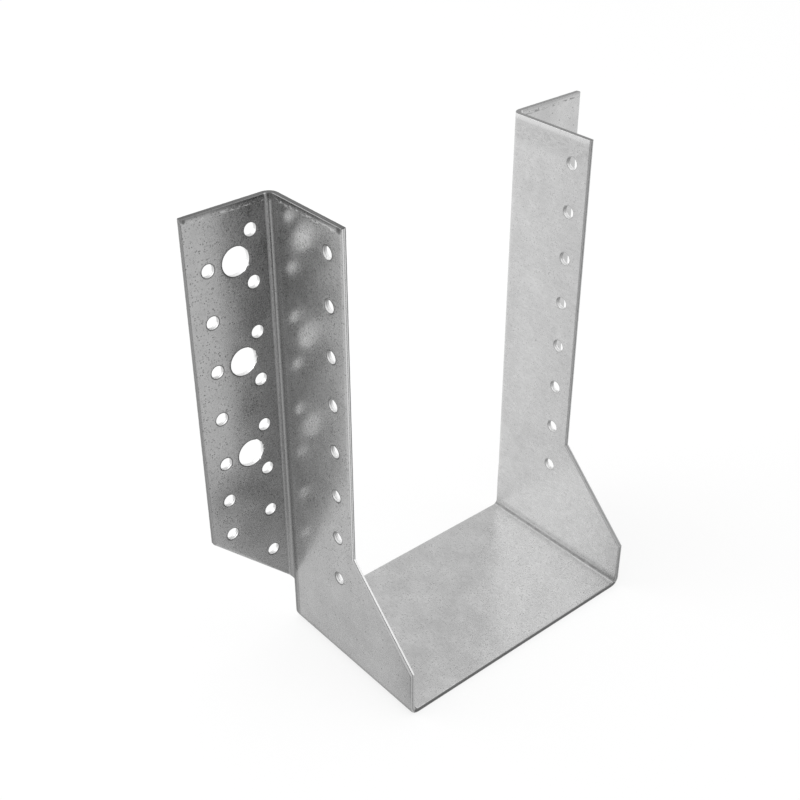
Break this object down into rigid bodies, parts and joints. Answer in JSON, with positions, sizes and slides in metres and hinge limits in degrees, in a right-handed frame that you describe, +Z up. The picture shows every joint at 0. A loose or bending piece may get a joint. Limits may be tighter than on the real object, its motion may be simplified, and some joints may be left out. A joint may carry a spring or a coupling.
{
  "type": "joist hanger",
  "caption": "Folded galvanised sheet-steel cradle with outward nailing flanges, which carries the end of a timber joist against a header.",
  "frame": {"origin": "Middle of the footprint, on the plane that the seat's underside stands on. The header's face is the plane y = 0.038 and the seat's top is the plane z = 0.002.", "axes": "+X across the pocket, +Y along the joist towards the header, +Z up"},
  "size_m": [0.19, 0.076, 0.193],
  "materials": {
    "galvanised_steel": "zinc-coated sheet steel, smooth and dull-bright, with fine dark specks, a faint mottle, bright sheared edges and grime along the top edges"
  },
  "bodies": {
    "root": {"hanger": "galvanised_steel"}
  },
  "joints": []
}
